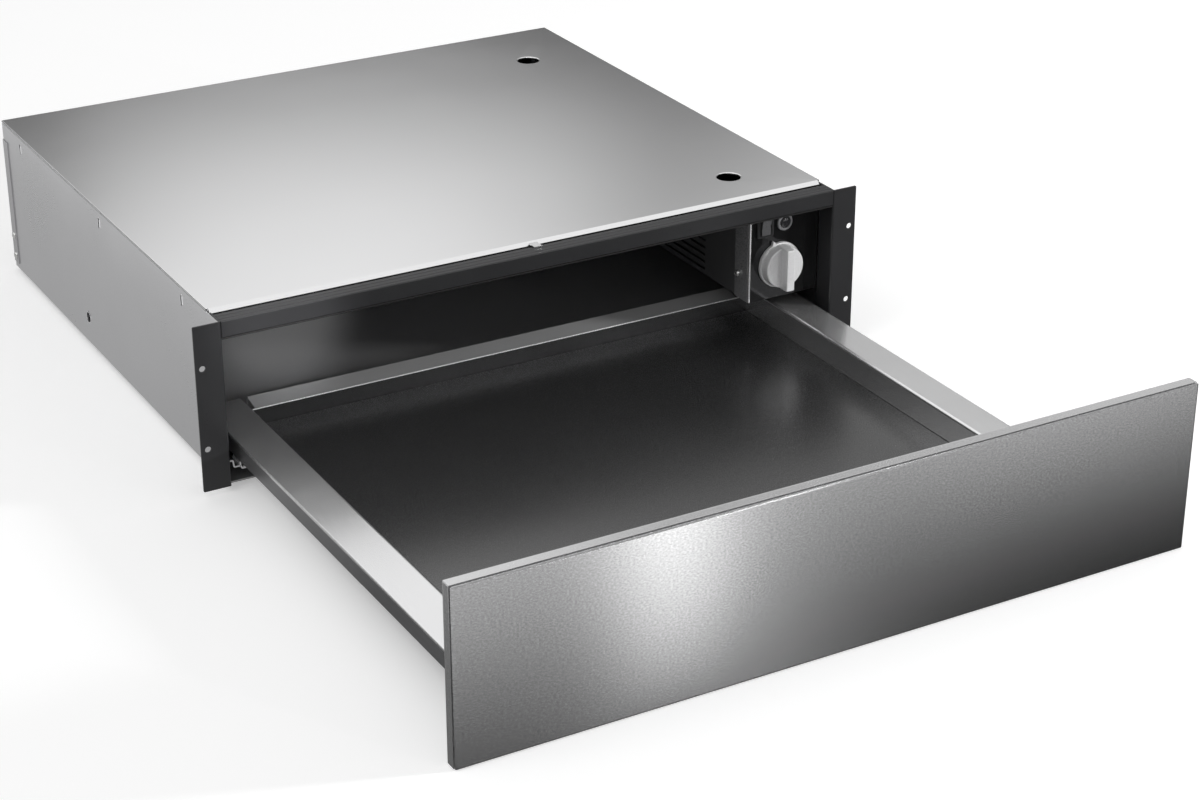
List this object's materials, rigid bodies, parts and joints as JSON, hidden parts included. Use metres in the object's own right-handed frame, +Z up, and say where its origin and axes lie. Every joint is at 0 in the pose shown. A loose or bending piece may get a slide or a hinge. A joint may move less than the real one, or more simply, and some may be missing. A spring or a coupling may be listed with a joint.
{
  "type": "built-in warming drawer",
  "caption": "Built-in warming drawer: steel casing with flanged front frame, side heater duct with knob and rocker, and a full-width drawer on telescopic runners with a plain steel front.",
  "frame": {"origin": "middle of the casing's underside, midway between the front frame's plane and the rear panel", "axes": "+Z up, -Y out of the front towards the user, +X to the user's right"},
  "size_m": [0.594, 0.9386, 0.1428],
  "materials": {
    "casing_steel": "satin galvanised",
    "frame_paint": "dark grey powder coat",
    "seal_rubber": "matt",
    "zinc_screw": "bright zinc",
    "duct_paint": "dark enamel",
    "plate_metal": "dark metallic",
    "control_body": "moulded",
    "shaft_steel": "turned",
    "knob_silver": "silver satin",
    "switch_plastic": "fine texture",
    "rocker_plastic": "satin",
    "lamp_ring": "satin",
    "lamp_lens": "translucent",
    "fan_plastic": "matt",
    "motor_steel": "plain",
    "heater_steel": "heat-tinted",
    "clip_steel": "plain",
    "cutout_plastic": "moulded",
    "terminal_plastic": "moulded",
    "gland_plastic": "moulded",
    "runner_zinc": "zinc plated",
    "runner_dark": "dark zinc",
    "cage_brass": "rolled",
    "tray_steel": "satin",
    "cover_steel": "brushed",
    "cross_paint": "satin",
    "mat_dark": "anti-slip",
    "face_steel": "fine grain, brushed",
    "front_dark": "satin",
    "buffer_rubber": "matt",
    "latch_plastic": "moulded"
  },
  "bodies": {
    "casing": {"top_cover": "casing_steel", "side_wall_left": "casing_steel", "side_wall_right": "casing_steel", "base_pan": "casing_steel", "rear_panel": "casing_steel", "front_rail": "frame_paint", "rail_seal": "seal_rubber", "flange_left": "frame_paint", "flange_right": "frame_paint", "casing_screws": "zinc_screw", "duct_housing": "duct_paint", "duct_bracket": "duct_paint", "duct_screw": "zinc_screw", "control_plate": "plate_metal", "thermostat": "control_body", "rocker_housing": "switch_plastic", "pilot_ring": "lamp_ring", "pilot_lens": "lamp_lens", "fan_frame": "fan_plastic", "fan_motor": "motor_steel", "ring_heater": "heater_steel", "heater_clip": "clip_steel", "heat_cutout": "cutout_plastic", "terminal_block": "terminal_plastic", "cable_gland": "gland_plastic", "runner_fixed_left": "runner_zinc", "runner_fixed_right": "runner_zinc", "latch_housing": "latch_plastic"},
    "drawer": {"tray_pan": "tray_steel", "side_cover_left": "cover_steel", "side_cover_right": "cover_steel", "cross_rail": "cross_paint", "mat": "mat_dark", "front_face": "face_steel", "front_frame": "front_dark", "front_back": "front_dark", "front_bracket_left": "runner_zinc", "front_bracket_right": "runner_zinc", "front_buffers": "buffer_rubber", "drawer_screws": "zinc_screw", "latch_strike": "clip_steel", "runner_drawer_left": "runner_dark", "runner_drawer_right": "runner_dark"},
    "runner_middle": {"runner_middle_left": "runner_zinc", "runner_middle_right": "runner_zinc"},
    "inner_cages": {"inner_cage_left": "cage_brass", "inner_cage_right": "cage_brass"},
    "outer_cages": {"outer_cage_left": "cage_brass", "outer_cage_right": "cage_brass"},
    "thermostat_knob": {"knob": "knob_silver", "thermostat_shaft": "shaft_steel"},
    "switch_rocker": {"rocker": "rocker_plastic"},
    "fan_rotor": {"fan_impeller": "fan_plastic"},
    "touch_plunger": {"latch_plunger": "latch_plastic"}
  },
  "joints": [
    {"name": "drawer_slide", "type": "slide", "parent": "casing", "child": "drawer", "axis": [0, 1, 0], "range_m": [0, 0.412]},
    {"name": "middle_runner_slide", "type": "slide", "parent": "casing", "child": "runner_middle", "axis": [0, 1, 0], "range_m": [0, 0.206]},
    {"name": "inner_cage_slide", "type": "slide", "parent": "casing", "child": "inner_cages", "axis": [0, 1, 0], "range_m": [0, 0.103]},
    {"name": "outer_cage_slide", "type": "slide", "parent": "casing", "child": "outer_cages", "axis": [0, 1, 0], "range_m": [0, 0.309]},
    {"name": "knob_turn", "type": "hinge", "parent": "casing", "child": "thermostat_knob", "pos_m": [0.233, -0.245, 0.0723], "axis": [0, 1, 0], "range_deg": [0, 240]},
    {"name": "rocker_tilt", "type": "hinge", "parent": "casing", "child": "switch_rocker", "pos_m": [0.2186, -0.2318, 0.1093], "axis": [1, 0, 0], "range_deg": [-14, 0]},
    {"name": "fan_spin", "type": "hinge", "parent": "casing", "child": "fan_rotor", "pos_m": [0.2311, -0.1056, 0.08985], "axis": [1, 0, 0], "continuous": true},
    {"name": "touch_latch_press", "type": "slide", "parent": "casing", "child": "touch_plunger", "axis": [0, 1, 0], "range_m": [0, 0.005], "stiffness_N_per_m": 800}
  ],
  "couplings": [
    {"joint": "middle_runner_slide", "follows": "drawer_slide", "ratio": 0.5},
    {"joint": "inner_cage_slide", "follows": "drawer_slide", "ratio": 0.25},
    {"joint": "outer_cage_slide", "follows": "drawer_slide", "ratio": 0.75}
  ]
}
